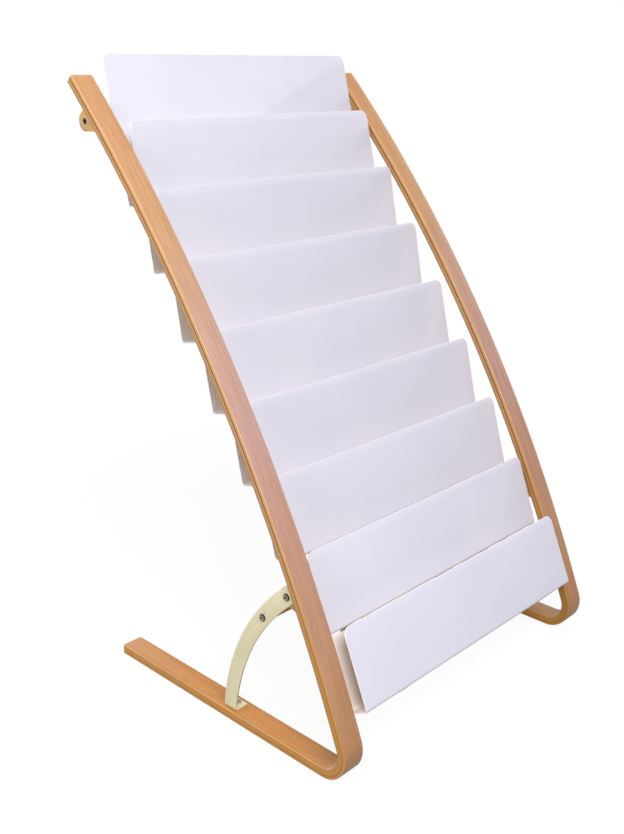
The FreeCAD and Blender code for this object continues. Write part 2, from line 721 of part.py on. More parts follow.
def build():
    bolt_seat = S.bolt_recess + S.bolt_head_height
    bolt = screw("bolt", "bolt", "Sizes.strip_width - Sizes.bolt_recess"
                 " - Sizes.bolt_head_height + Sizes.bolt_reach")
    brace_screw = screw("brace_screw", "brace_screw", "Sizes.brace_screw_length")
    foot_screw = screw("foot_screw", "foot_screw", "Sizes.foot_screw_length")
    rail_screw = screw("rail_screw", "rail_screw", "Sizes.rail_screw_length", sunk=True)
    bush_radius = "(Sizes.bolt_head_diameter / 2 + Sizes.bush_clearance + Sizes.bush_wall)"
    bush_length = "(Sizes.bolt_recess + Sizes.bolt_head_height + Sizes.bush_floor)"
    bush_room = cylinder("bush_room", bush_radius, bush_length, "-Sizes.bush_floor")
    bush_bore = cylinder("bush_bore", "Sizes.bolt_head_diameter / 2 + Sizes.bush_clearance",
                         bush_length)
    bush = doc.addObject("Part::Cut", "bush")
    bush.Base = bush_room
    bush.Tool = fused("bush_inside", bush_bore, bolt.blank)

    sides = SIDES.values()
    bolt_places = [sideways(side, bolt_seat, L.tube) for side in sides]
    bolts = fasten("upper_lug_bolts", bolt, bolt_places)
    nodes["upper_lug_bushes"] = group("upper_lug_bushes", copies(bush, bolt_places))
    bush_bores = copies(bush_room, bolt_places)
    lug_screws = fasten("lower_lug_screws", brace_screw,
                        [sideways(side, S.brace_inset, L.lower_lug) for side in sides])
    end_screws = fasten("cross_rail_screws", brace_screw,
                        [sideways(side, S.brace_inset, L.rail) for side in sides])
    foot_x = S.overall_width / 2 - S.brace_inset - S.brace_tab_screw
    foot_screws = fasten("brace_foot_screws", foot_screw, [
        Placement(L.brace_foot + Vector(side * foot_x, 0, S.brace_thickness), Rotation())
        for side in sides])

    to_front = Rotation(Vector(1, 0, 0), 90)
    strap_face = -(S.rail_depth / 2 + S.strap_thickness)
    rail_screws = fasten("carrier_rail_screws", rail_screw, [
        leaned(L.rake, L.rail)
        * Placement(Vector(side * S.carrier_spacing / 2, strap_face, 0), to_front)
        for side in sides])

    block = "(Sizes.strip_width - Sizes.brace_inset - Sizes.brace_thickness)"
    for i, (word, side) in enumerate(SIDES.items()):
        bored(word + "_side_frame", side_frame(word + "_strip", side), [foot_screws[i]])
        upper = lug(word + "_upper_block", side, "upper", L.upper_lean, L.tube,
                    "0", "Sizes.strip_width")
        bored(word + "_upper_lug", upper, [bush_bores[i], bolts[i]])
        lower = lug(word + "_lower_block", side, "lower", L.lower_lean, L.lower_lug,
                    "(Sizes.brace_inset + Sizes.brace_thickness)", block)
        bored(word + "_lower_lug", lower, [lug_screws[i]])
        brace(word + "_brace", side, [lug_screws[i], end_screws[i], foot_screws[i]])
        bored(word + "_tray_carrier", strap(word + "_strap", side), [rail_screws[i]])
        tabs = [tab("%s_tab_%d" % (word, k + 1), side, k) for k in range(TRAYS)]
        nodes[word + "_carrier_tabs"] = group(word + "_carrier_tabs", tabs)
    nodes["tube_end_inserts"] = group("tube_end_inserts", [
        tube_insert(word + "_insert", side) for word, side in SIDES.items()])
    keep("upper_cross_tube", cross_tube("upper_cross_tube"))
    bored("lower_cross_rail", cross_rail("lower_rail"), end_screws + rail_screws)
    for k in range(TRAYS):
        keep("tray_%d" % (k + 1), tray("tray_%d" % (k + 1), k))


def check():
    """Stop on any failed object or bad shape."""
    doc.recompute()
    for thing in doc.Objects:
        if "Invalid" in thing.State or "Error" in thing.State:
            raise RuntimeError("failed: %s %s" % (thing.Label, thing.State))
    for name, thing in nodes.items():
        if thing.Shape.isNull() or not thing.Shape.isValid() or not thing.Shape.Solids:
            raise RuntimeError("bad shape: " + name)


build()
check()
os.makedirs("parts", exist_ok=True)
for name, thing in nodes.items():
    thing.Shape.exportStep("parts/%s.step" % name)
print("%d nodes" % len(nodes))
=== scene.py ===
"""Looks of the periodical display rack.

Metres, +Z up, the trays face -Y, +X to the right, origin on the floor below the middle of the
rack.  The bent beech strips, trays, lugs, rail, braces, carriers, screws, nuts and welds are made
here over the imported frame, which gives their places.
"""
import json
import math

import bmesh
import bpy
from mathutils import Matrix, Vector

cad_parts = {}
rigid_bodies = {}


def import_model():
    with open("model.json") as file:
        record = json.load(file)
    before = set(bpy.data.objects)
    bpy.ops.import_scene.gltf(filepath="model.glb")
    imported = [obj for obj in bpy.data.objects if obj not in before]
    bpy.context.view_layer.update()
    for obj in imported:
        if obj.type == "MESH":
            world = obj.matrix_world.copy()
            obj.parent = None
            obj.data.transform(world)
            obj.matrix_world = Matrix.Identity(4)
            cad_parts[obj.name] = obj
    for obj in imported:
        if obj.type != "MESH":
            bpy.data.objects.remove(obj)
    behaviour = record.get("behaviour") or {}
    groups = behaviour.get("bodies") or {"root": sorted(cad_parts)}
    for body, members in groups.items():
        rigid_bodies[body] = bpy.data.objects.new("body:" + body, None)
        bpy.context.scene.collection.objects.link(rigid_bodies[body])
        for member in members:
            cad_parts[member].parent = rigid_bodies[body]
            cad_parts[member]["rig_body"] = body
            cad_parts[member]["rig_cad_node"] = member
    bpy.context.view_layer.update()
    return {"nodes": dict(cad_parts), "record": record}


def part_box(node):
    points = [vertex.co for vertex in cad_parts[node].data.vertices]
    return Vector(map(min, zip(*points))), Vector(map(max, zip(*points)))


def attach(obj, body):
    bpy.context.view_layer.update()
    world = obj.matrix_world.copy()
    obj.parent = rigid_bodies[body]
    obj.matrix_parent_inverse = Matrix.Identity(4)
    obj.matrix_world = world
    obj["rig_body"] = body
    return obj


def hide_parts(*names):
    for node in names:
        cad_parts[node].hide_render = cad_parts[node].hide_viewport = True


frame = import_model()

MM = 0.001
CLOSE = 0.01 * MM       # points nearer than this count as one
BODY = "root"
SIDES = {"left": -1, "right": 1}

# bent beech strips
STRIP_WIDTH = 55 * MM
STRIP_THICKNESS = 22 * MM
FOOT_LENGTH = 679 * MM
BEND_OUTER_RADIUS = 67 * MM
UPRIGHT_RADIUS = 3920 * MM
UPRIGHT_START_LEAN = 20.9
UPRIGHT_END_LEAN = 43.4
HEEL_CORNER_RADIUS = 5 * MM
STRIP_ARRIS = 1.6 * MM
BEND_STEPS = 30
UPRIGHT_STEPS = 72

# trays, counted from the top
TRAY_LEANS = (13.2, 10.4, 10.4, 12.8, 13.0, 16.0, 20.0, 22.6)
TRAYS = len(TRAY_LEANS)
TRAY_END_GAP = 10 * MM
TRAY_DEPTH = 54 * MM
SHEET = 2 * MM
LIP_HEIGHT = 180 * MM
BACK_HEIGHT = 149 * MM
TALL_BACK_HEIGHT = 335 * MM
LAST_BACK_HEIGHT = 158 * MM
TRAY_BACKS = (TALL_BACK_HEIGHT,) + (TRAYS - 2) * (BACK_HEIGHT,) + (LAST_BACK_HEIGHT,)
TRAY_BEND_INSIDE = 5 * MM
LIP_CORNER_RADIUS = 20 * MM
BACK_CORNER_RADIUS = 8 * MM
SHEET_ARRIS = 0.55 * MM

# lugs, rail, braces and carriers
LUG_ARRIS = 1.2 * MM
RAIL_ARRIS = 5 * MM
BRACE_ARRIS = 0.5 * MM
CARRIER_ARRIS = 0.4 * MM
# height from which the brace's thin edges get painted shade
BRACE_SHADE_FROM = STRIP_THICKNESS + 14 * MM
TAB_THICKNESS = 3 * MM

# screws, nuts and welds
BRACE_SCREW = {"head_radius": 8 * MM, "head_height": 4 * MM, "radius": 3 * MM, "length": 42 * MM,
               "dome": 1.8 * MM, "socket": 2.9 * MM}
TRAY_SCREW = {"head_radius": 4.5 * MM, "head_height": 2.2 * MM, "radius": 2 * MM,
              "length": 9 * MM, "dome": 1.4 * MM, "socket": 1.7 * MM}
TRAY_SCREW_INSET = 26 * MM
SCREW_TIP_CHAMFER = 0.6 * MM
SCREW_ARRIS = 0.15 * MM
NUT_RADIUS = 4.6 * MM
NUT_HEIGHT = 3.2 * MM
NUT_ARRIS = 0.3 * MM
WELD_LENGTH = 27 * MM
WELD_RADIUS = 1.7 * MM
WELD_RIPPLE = 1.1 * MM
WELD_RIPPLE_DEPTH = 0.35 * MM
WELD_INSET = 1 * MM
WELD_DROP = 0.9 * MM


# ---------------------------------------------------------------- directions and places

def up(lean):
    """Unit vector that rises and leans back by lean degrees."""
    return Vector((0, math.sin(math.radians(lean)), math.cos(math.radians(lean))))


def back(lean):
    """Unit vector square to up(lean), pointing to the rear."""
    return Vector((0, math.cos(math.radians(lean)), -math.sin(math.radians(lean))))


strip_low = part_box("left_side_frame")[0]
BEND = Vector((0, strip_low.y + BEND_OUTER_RADIUS, BEND_OUTER_RADIUS))
BOW = BEND + back(UPRIGHT_START_LEAN) * (UPRIGHT_RADIUS - BEND_OUTER_RADIUS)
BEND_TURN = math.radians(90 + UPRIGHT_START_LEAN)
BOW_TURN = math.radians(UPRIGHT_END_LEAN - UPRIGHT_START_LEAN)
HEEL_Y = BEND.y + FOOT_LENGTH
BEND_END = FOOT_LENGTH + BEND_OUTER_RADIUS * BEND_TURN
STRIP_LENGTH = BEND_END + UPRIGHT_RADIUS * BOW_TURN
TRAY_WIDTH = 2 * (-strip_low.x - STRIP_WIDTH - TRAY_END_GAP)


# ---------------------------------------------------------------- modelling helpers

def named(piece, name):
    """The piece, with its object and its mesh named."""
    piece.name = name
    piece.data.name = name
    return piece


def added(name, primitive, **where):
    """A new object from a primitive operator, alone in the selection."""
    bpy.ops.object.select_all(action="DESELECT")
    primitive(**where)
    return named(bpy.context.object, name)


def copied(source):
    """A copy of the object with its own mesh."""
    piece = source.copy()
    piece.data = source.data.copy()
    bpy.context.scene.collection.objects.link(piece)
    return piece


def alone(piece):
    """Make the piece the whole selection."""
    bpy.ops.object.select_all(action="DESELECT")
    piece.select_set(True)
    bpy.context.view_layer.objects.active = piece


def settle(piece):
    """Put the object's place, turn and size into its mesh."""
    alone(piece)
    bpy.ops.object.transform_apply(location=True, rotation=True, scale=True)


def editing(piece, mode, action="DESELECT"):
    """Enter edit mode with nothing selected, or with all."""
    alone(piece)
    bpy.ops.object.mode_set(mode="EDIT")
    bpy.ops.mesh.select_mode(type=mode)
    bpy.ops.mesh.select_all(action=action)


def edited():
    """Leave edit mode."""
    bpy.ops.object.mode_set(mode="OBJECT")


def drawn_out(*way):
    """Extrude the selection along the way."""
    bpy.ops.mesh.extrude_region_move(TRANSFORM_OT_translate={"value": way})


def choose(piece, mode, test):
    """Select the vertices, edges or faces whose middle passes the test."""
    mesh = bmesh.from_edit_mesh(piece.data)
    bpy.ops.mesh.select_mode(type=mode)
    bpy.ops.mesh.select_all(action="DESELECT")
    parts, middle = {
        "VERT": (mesh.verts, lambda vertex: vertex.co),
        "EDGE": (mesh.edges, lambda edge: (edge.verts[0].co + edge.verts[1].co) / 2),
        "FACE": (mesh.faces, lambda face: face.calc_center_median())}[mode]
    for part in parts:
        if test(middle(part)):
            part.select_set(True)
    mesh.select_flush_mode()
    bmesh.update_edit_mesh(piece.data)


def modified(piece, kind, **settings):
    """Add a modifier and apply it."""
    modifier = piece.modifiers.new(kind.title(), kind)
    for name, value in settings.items():
        setattr(modifier, name, value)
    alone(piece)
    bpy.ops.object.modifier_apply(modifier=modifier.name)


def round_arrises(piece, width, segments=2, angle=40):
    """Round the edges that turn by more than the angle."""
    modified(piece, "BEVEL", width=width, segments=segments, limit_method="ANGLE",
             angle_limit=math.radians(angle), harden_normals=False)


def smooth(piece, angle=35):
    """Shade smooth, but keep the edges sharp that turn by more than the angle."""
    alone(piece)
    bpy.ops.object.shade_smooth_by_angle(angle=math.radians(angle))


def taken_over(node, name, arris, segments=2):
    """A copy of the node's mesh, merged and with its arrises rounded."""
    piece = copied(frame["nodes"][node])
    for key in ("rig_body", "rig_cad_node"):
        del piece[key]
    piece.parent = None
    named(piece, name)
    editing(piece, "VERT", "SELECT")
    bpy.ops.mesh.customdata_custom_splitnormals_clear()
    bpy.ops.mesh.remove_doubles(threshold=CLOSE)
    bpy.ops.mesh.dissolve_limited(angle_limit=math.radians(0.5))
    edited()
    round_arrises(piece, arris, segments)
    smooth(piece)
    return piece


def stored(piece, name, values):
    """Keep a value or a vector for each vertex of the piece."""
    kind, field = ("FLOAT", "value")
    if isinstance(values[0], tuple):
        kind, field = ("FLOAT_VECTOR", "vector")
        values = [part for value in values for part in value]
    attribute = piece.data.attributes.new(name, kind, "POINT")
    attribute.data.foreach_set(field, values)


def marked(piece, name, test):
    """Keep 1 on each face whose middle and normal pass the test, and 0 on the others."""
    marks = [float(test(face.center, face.normal)) for face in piece.data.polygons]
    attribute = piece.data.attributes.new(name, "FLOAT", "FACE")
    attribute.data.foreach_set("value", marks)


# ---------------------------------------------------------------- bent strips

def unbent(point):
    """The point's place in the straight strip: across, along from the heel, depth from the
    sole and front face."""
    if point.y > BEND.y and point.z < STRIP_THICKNESS + STRIP_ARRIS:
        return Vector((point.x, HEEL_Y - point.y, point.z))
    at_bend = point - BEND
    if at_bend.dot(up(UPRIGHT_START_LEAN)) < 0:
        turned = math.atan2(-at_bend.y, -at_bend.z)
        reach = math.hypot(at_bend.y, at_bend.z)
        return Vector((point.x, FOOT_LENGTH + BEND_OUTER_RADIUS * turned,
                       BEND_OUTER_RADIUS - reach))
    at_bow = point - BOW
    lean = math.atan2(at_bow.z, -at_bow.y)
    along = BEND_END + UPRIGHT_RADIUS * (lean - math.radians(UPRIGHT_START_LEAN))
    return Vector((point.x, along, UPRIGHT_RADIUS - math.hypot(at_bow.y, at_bow.z)))


def bent_strip(name, side):
    """A straight section drawn along the foot, spun round the bend and along the bow."""
    middle = side * (-strip_low.x - STRIP_WIDTH / 2)
    strip = added(name, bpy.ops.mesh.primitive_plane_add, size=1,
                  location=(middle, HEEL_Y, STRIP_THICKNESS / 2), rotation=(math.pi / 2, 0, 0))
    strip.scale = (STRIP_WIDTH, STRIP_THICKNESS, 1)
    settle(strip)
    editing(strip, "EDGE", "SELECT")
    bpy.ops.mesh.delete(type="ONLY_FACE")
    bpy.ops.mesh.select_all(action="SELECT")
    drawn_out(0, -FOOT_LENGTH, 0)
    for centre, steps, turn in ((BEND, BEND_STEPS, BEND_TURN), (BOW, UPRIGHT_STEPS, BOW_TURN)):
        bpy.ops.mesh.spin(steps=steps, angle=turn, center=centre, axis=(1, 0, 0))
    bpy.ops.mesh.select_all(action="SELECT")
    bpy.ops.mesh.fill_holes(sides=4)
    bpy.ops.mesh.remove_doubles(threshold=CLOSE)
    bpy.ops.mesh.normals_make_consistent(inside=False)
    choose(strip, "EDGE", lambda middle: abs(middle.y - HEEL_Y) < MM
           and abs(middle.z - STRIP_THICKNESS / 2) < MM)
    bpy.ops.mesh.bevel(offset=HEEL_CORNER_RADIUS, segments=6, affect="EDGES")
    edited()
    round_arrises(strip, STRIP_ARRIS, segments=3)
    smooth(strip, 40)
    places = [unbent(point.co) for point in strip.data.vertices]
    # distance from the side and from the nearer broad face, as a share of the arris's width
    insets = [(STRIP_WIDTH / 2 - abs(place.x - middle)) / STRIP_ARRIS for place in places]
    depths = [min(place.z, STRIP_THICKNESS - place.z) / STRIP_ARRIS for place in places]
    # a metre along the wood each way, so that the grain of the two strips differs
    stored(strip, "unbent", [(place.x - middle, place.y + side, place.z) for place in places])
    stored(strip, "along", [place.y / STRIP_LENGTH for place in places])
    # 1 on the right strip, which the material darkens as painted shade of the trays
    stored(strip, "shaded_strip", [float(side > 0)] * len(places))
    stored(strip, "side", [1 - min(1, max(0, inset)) for inset in insets])
    # arris marks where the material paints a highlight on the rounded edges
    stored(strip, "arris", [float(0.02 < inset < 0.98 and 0.02 < depth < 0.98)
                            for inset, depth in zip(insets, depths)])
    return strip


# ---------------------------------------------------------------- trays

def tray_place(number):
    """The lip's lower front corner, from the tray's box."""
    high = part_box("tray_%d" % number)[1]
    lean, back_height = TRAY_LEANS[number - 1], TRAY_BACKS[number - 1]
    top = max(up(lean).z * LIP_HEIGHT,
              up(lean).z * back_height + back(lean).z * (TRAY_DEPTH - SHEET))
    rear = back(lean).y * TRAY_DEPTH + up(lean).y * back_height
    return Vector((0, high.y - rear, high.z - top))


def tray(number):
    """One sheet: lip, ledge and back drawn from a plane, bent and rounded, then thickened."""
    back_height = TRAY_BACKS[number - 1]
    tall = back_height == TALL_BACK_HEIGHT
    piece = added("tray_sheet_%d" % number, bpy.ops.mesh.primitive_plane_add, size=1,
                  location=(0, 0, LIP_HEIGHT / 2), rotation=(math.pi / 2, 0, 0))
    piece.scale = (TRAY_WIDTH, LIP_HEIGHT, 1)
    settle(piece)
    editing(piece, "EDGE")
    choose(piece, "EDGE", lambda middle: middle.z < MM)
    drawn_out(0, TRAY_DEPTH, 0)
    drawn_out(0, 0, back_height)
    choose(piece, "EDGE", lambda middle: middle.z < MM and abs(middle.x) < MM)
    bpy.ops.mesh.bevel(offset=TRAY_BEND_INSIDE + SHEET, segments=8, affect="EDGES")
    choose(piece, "VERT", lambda point: point.y < MM and point.z > LIP_HEIGHT - MM)
    bpy.ops.mesh.bevel(offset=LIP_CORNER_RADIUS, segments=10, affect="VERTICES")
    choose(piece, "VERT", lambda point: point.y > TRAY_DEPTH - MM and point.z > back_height - MM)
    bpy.ops.mesh.bevel(offset=LIP_CORNER_RADIUS if tall else BACK_CORNER_RADIUS, segments=8,
                       affect="VERTICES")
    edited()
    modified(piece, "SOLIDIFY", thickness=SHEET, offset=-1, use_even_offset=True)
    round_arrises(piece, SHEET_ARRIS, angle=60)
    smooth(piece)
    # front faces take the front tone, the others the painted warm reflection
    marked(piece, "front_face", lambda middle, normal: normal.y < -0.5
           and (tall or middle.y < SHEET / 2))
    # cut edges take a painted highlight
    marked(piece, "cut_edge", lambda middle, normal: abs(normal.x) > 0.25
           or normal.z > 0.25 and middle.z > BACK_HEIGHT - SHEET)
    piece.rotation_euler.x = -math.radians(TRAY_LEANS[number - 1])
    piece.location = tray_place(number)
    settle(piece)
    return piece


# ---------------------------------------------------------------- screws, nuts and welds

def button_screw(name, head_radius, head_height, radius, length, dome, socket):
    """Button-head screw with a hex socket: along Z, seated at z = 0."""
    piece = added(name, bpy.ops.mesh.primitive_cylinder_add, vertices=40, radius=head_radius,
                  depth=head_height, location=(0, 0, head_height / 2))
    settle(piece)
    editing(piece, "FACE")
    choose(piece, "FACE", lambda middle: middle.z < CLOSE)
    bpy.ops.mesh.inset(thickness=head_radius - radius)
    drawn_out(0, 0, -length)
    bpy.ops.mesh.bevel(offset=SCREW_TIP_CHAMFER, segments=2, affect="EDGES")
    choose(piece, "EDGE", lambda middle: middle.z > head_height - CLOSE
           and middle.xy.length > head_radius * 0.9)
    bpy.ops.mesh.bevel(offset=dome, segments=5, affect="EDGES")
    edited()
    cutter = added(name + "_socket", bpy.ops.mesh.primitive_cylinder_add, vertices=6,
                   radius=socket, depth=head_height * 1.3, location=(0, 0, head_height))
    settle(cutter)
    modified(piece, "BOOLEAN", operation="DIFFERENCE", object=cutter, solver="EXACT")
    bpy.data.objects.remove(cutter)
    round_arrises(piece, SCREW_ARRIS, angle=50)
    smooth(piece, 30)
    # flat of the head, which the material gives a lighter tone
    marked(piece, "flat_top", lambda middle, normal: normal.z > 0.98
           and middle.z > head_height - 0.1 * MM)
    return piece


def hex_nut(name, radius, height):
    """Hex nut with rounded corners and a hollow under z = 0."""
    piece = added(name, bpy.ops.mesh.primitive_cylinder_add, vertices=6, radius=radius,
                  depth=height, location=(0, 0, -height / 2))
    settle(piece)
    editing(piece, "FACE")
    choose(piece, "FACE", lambda middle: middle.z < -height + CLOSE)
    bpy.ops.mesh.inset(thickness=radius * 0.42)
    drawn_out(0, 0, height * 0.4)
    edited()
    round_arrises(piece, NUT_ARRIS, angle=50)
    smooth(piece, 30)
    return piece


def weld_bead(name, length):
    """Rippled bead along X."""
    piece = added(name, bpy.ops.mesh.primitive_grid_add, y_subdivisions=1, size=1,
                  x_subdivisions=int(length / WELD_RIPPLE))
    piece.scale = (length, 0.8 * WELD_RADIUS, 1)
    settle(piece)
    editing(piece, "FACE", "SELECT")
    drawn_out(0, 0, WELD_RADIUS)
    edited()
    modified(piece, "SUBSURF", levels=1, render_levels=1)
    editing(piece, "VERT")
    choose(piece, "VERT", lambda point: point.z > WELD_RADIUS * 0.3
           and math.sin(point.x / WELD_RIPPLE * math.pi) > 0)
    bpy.ops.transform.translate(value=(0, 0, -WELD_RIPPLE_DEPTH))
    bpy.ops.mesh.select_all(action="SELECT")
    bpy.ops.mesh.normals_make_consistent(inside=False)
    edited()
    smooth(piece, 60)
    return piece


def set_out(pattern, name, places):
    """Copies of the pattern, each turned about one axis by some degrees and moved, as one."""
    copies = []
    for middle, axis, degrees in places:
        piece = copied(pattern)
        setattr(piece.rotation_euler, axis, math.radians(degrees))
        piece.location = middle
        settle(piece)
        copies.append(piece)
    alone(copies[0])
    for piece in copies[1:]:
        piece.select_set(True)
    bpy.ops.object.join()
    return named(copies[0], name)


def brace_screws(pattern, node):
    """The node's two screws, one on each brace with its head outwards."""
    low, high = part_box(node)
    seat = high.x - BRACE_SCREW["head_height"]
    y, z = (low.y + high.y) / 2, (low.z + high.z) / 2
    return set_out(pattern, node.replace("screws", "button_screws"),
                   [(Vector((side * seat, y, z)), "y", 90 * side) for side in SIDES.values()])


def ledge_places(depth, height):
    """Points on the ledges over the carriers' tabs, in each tray's own depth and height."""
    low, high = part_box("right_tray_carrier")
    across = (low.x + high.x) / 2
    places = []
    for number, lean in enumerate(TRAY_LEANS, 1):
        point = tray_place(number) + back(lean) * depth + up(lean) * height
        places += [(point + Vector((side * across, 0, 0)), "x", -lean)
                   for side in SIDES.values()]
    return places


# ---------------------------------------------------------------- shader groups

class Nodes:
    """Adds nodes to a tree and links them by name."""

    def __init__(self, tree):
        self.tree = tree

    def add(self, kind, inputs=None, **settings):
        node = self.tree.nodes.new(kind)
        for name, value in settings.items():
            setattr(node, name, value)
        for name, value in (inputs or {}).items():
            self.feed(node, name, value)
        return node

    def feed(self, node, name, value):
        socket = node.inputs[name]
        if isinstance(value, bpy.types.NodeSocket):
            self.tree.links.new(value, socket)
        else:
            socket.default_value = value

    def math(self, operation, *values, clamp=False):
        node = self.add("ShaderNodeMath", operation=operation, use_clamp=clamp)
        for index, value in enumerate(values):
            self.feed(node, index, value)
        return node.outputs[0]

    def stretch(self, vector, scale):
        return self.add("ShaderNodeVectorMath", {0: vector, 1: scale},
                        operation="MULTIPLY").outputs[0]

    def noise(self, vector, scale, detail, roughness=0.5):
        node = self.add("ShaderNodeTexNoise", {"Vector": vector, "Scale": scale,
                                               "Detail": detail, "Roughness": roughness})
        return node.outputs["Fac"]

    def fade(self, value, low, high, start=0.0, end=1.0):
        node = self.add("ShaderNodeMapRange", {"Value": value, "From Min": low, "From Max": high,
                                               "To Min": start, "To Max": end})
        node.interpolation_type = "SMOOTHSTEP"
        return node.outputs[0]

    def mix(self, share, first, second, blend="MIX"):
        node = self.add("ShaderNodeMix", data_type="RGBA", blend_type=blend)
        for name, value in ((0, share), (6, first), (7, second)):
            self.feed(node, name, value)
        return node.outputs[2]

    def ramp(self, value, *stops):
        """Colour by value; each stop is a place from 0 to 1 and a colour."""
        node = self.add("ShaderNodeValToRGB", {"Fac": value})
        elements = node.color_ramp.elements
        elements[0].position, elements[0].color = stops[0]
        elements[1].position, elements[1].color = stops[-1]
        for place, tint in stops[1:-1]:
            elements.new(place).color = tint
        return node.outputs["Color"]

    def attribute(self, name, output="Fac"):
        return self.add("ShaderNodeAttribute", attribute_name=name).outputs[output]

    def bump(self, height, distance):
        return self.add("ShaderNodeBump", {"Height": height, "Distance": distance,
                                           "Strength": 1.0}).outputs["Normal"]


def new_group(name, inputs, outputs):
    """Node group with named sockets; gives its Nodes, its input and its output node."""
    tree = bpy.data.node_groups.new(name, "ShaderNodeTree")
    kinds = {"colour": "NodeSocketColor", "value": "NodeSocketFloat", "vector": "NodeSocketVector"}
    for socket, kind in inputs:
        tree.interface.new_socket(socket, in_out="INPUT", socket_type=kinds[kind])
    for socket, kind in outputs:
        tree.interface.new_socket(socket, in_out="OUTPUT", socket_type=kinds[kind])
    nodes = Nodes(tree)
    return nodes, nodes.add("NodeGroupInput").outputs, nodes.add("NodeGroupOutput")


def colour(red, green, blue):
    """Linear colour from 0-255 display values."""
    linear = []
    for level in (red, green, blue):
        share = level / 255
        linear.append(share / 12.92 if share <= 0.04045 else ((share + 0.055) / 1.055) ** 2.4)
    return (*linear, 1.0)


# beech figure: cells per metre across, along and through the wood
STREAK_CELLS = (340, 8, 340)
BROAD_CELLS = (70, 2.4, 70)
FIBRE_CELLS = (1300, 22, 1300)
FLECK_CELLS = (820, 150, 820)


def beech_grain_group():
    """Beech figure along the vector's Y: growth streaks, fine fibres and short dark flecks."""
    nodes, given, result = new_group("beech grain", [
        ("Vector", "vector"), ("Light", "colour"), ("Dark", "colour"), ("Fleck", "colour"),
        ("Streaks", "value"), ("Flecks", "value")],
        [("Color", "colour"), ("Roughness", "value"), ("Height", "value")])
    place = given["Vector"]
    streak = nodes.noise(nodes.stretch(place, STREAK_CELLS), 1.0, 3, 0.65)
    broad = nodes.noise(nodes.stretch(place, BROAD_CELLS), 1.0, 1)
    fibre = nodes.noise(nodes.stretch(place, FIBRE_CELLS), 1.0, 2, 0.6)
    share = nodes.math("MULTIPLY", nodes.fade(streak, 0.36, 0.66), given["Streaks"])
    share = nodes.math("ADD", share, nodes.fade(broad, 0.35, 0.65, -0.12, 0.12))
    share = nodes.math("ADD", share, nodes.fade(fibre, 0.35, 0.65, -0.16, 0.16), clamp=True)
    wood = nodes.mix(share, given["Light"], given["Dark"])
    cells = nodes.add("ShaderNodeTexVoronoi", {"Vector": nodes.stretch(place, FLECK_CELLS),
                                               "Scale": 1.0}, feature="F1")
    fleck = nodes.fade(cells.outputs["Distance"], 0.12, 0.34, 1, 0)
    fleck = nodes.math("MULTIPLY", fleck, given["Flecks"])
    nodes.feed(result, "Color", nodes.mix(fleck, wood, given["Fleck"]))
    nodes.feed(result, "Roughness", nodes.fade(fibre, 0.3, 0.7, 0.42, 0.56))
    nodes.feed(result, "Height",
               nodes.math("SUBTRACT", fibre, nodes.math("MULTIPLY", fleck, 0.5)))
    return nodes.tree


def powder_coat_group():
    """Fine orange peel and a trace of cloudiness."""
    nodes, given, result = new_group("powder coat", [
        ("Vector", "vector"), ("Paint", "colour"), ("Cloud", "colour"), ("Peel", "value")],
        [("Color", "colour"), ("Roughness", "value"), ("Height", "value")])
    place = given["Vector"]
    peel = nodes.noise(place, given["Peel"], 2, 0.55)
    cloud = nodes.noise(place, 5.0, 2)
    nodes.feed(result, "Color",
               nodes.mix(nodes.fade(cloud, 0.3, 0.7), given["Paint"], given["Cloud"]))
    nodes.feed(result, "Roughness", nodes.fade(peel, 0.3, 0.7, 0.46, 0.56))
    nodes.feed(result, "Height", peel)
    return nodes.tree


BEECH_GRAIN = beech_grain_group()
POWDER_COAT = powder_coat_group()


# ---------------------------------------------------------------- materials

SATIN = {"Specular IOR Level": 0.3}
ORANGE_PEEL_CELLS = 650.0
WORN_STEEL_CELLS = 260.0
PORE_DEPTH = 0.04 * MM
PEEL_DEPTH = 0.02 * MM

# tones of the finishes
BEECH = colour(208, 166, 112)
BEECH_FLECK = colour(142, 92, 58)
DARKER_GRAIN = colour(233, 224, 216)
# painted shade of the trays on the right strip
RIGHT_STRIP_SHADE = colour(240, 236, 230)
# painted highlight on the strip's arrises
ARRIS_HIGHLIGHT = colour(246, 204, 148)
# the front's lilac tint is the tint of the light, painted in
FRONT_PAINT = colour(227, 225, 238)
FRONT_CLOUD = colour(224, 222, 236)
# painted reflection: the sheet's inner faces warmed as by light bounced off the beech
INSIDE_WOOD_REFLECTION = colour(238, 229, 222)
# painted highlight on the sheet's cut edges
CUT_EDGE_HIGHLIGHT = colour(250, 244, 242)
CREAM_PAINT = colour(229, 218, 184)
CREAM_CLOUD = colour(224, 213, 177)
# painted shade along the brace's thin edges
CREAM_EDGE_SHADE = colour(128, 120, 98)
STEEL_GRIME = colour(70, 66, 60)

# tone of the strip's broad faces along it, from the heel to the top, with painted light: darker
# low, pinkish mid, lighter at top
STRIP_TONES_AND_LIGHT = (
    (0.0, colour(186, 128, 62)), (0.10, colour(193, 132, 68)), (0.22, colour(199, 138, 76)),
    (0.30, colour(184, 132, 84)), (0.36, colour(190, 142, 102)), (0.42, colour(196, 148, 116)),
    (0.52, colour(199, 153, 132)), (0.62, colour(203, 162, 152)), (0.72, colour(206, 166, 148)),
    (0.82, colour(211, 164, 124)), (1.0, colour(214, 160, 112)))
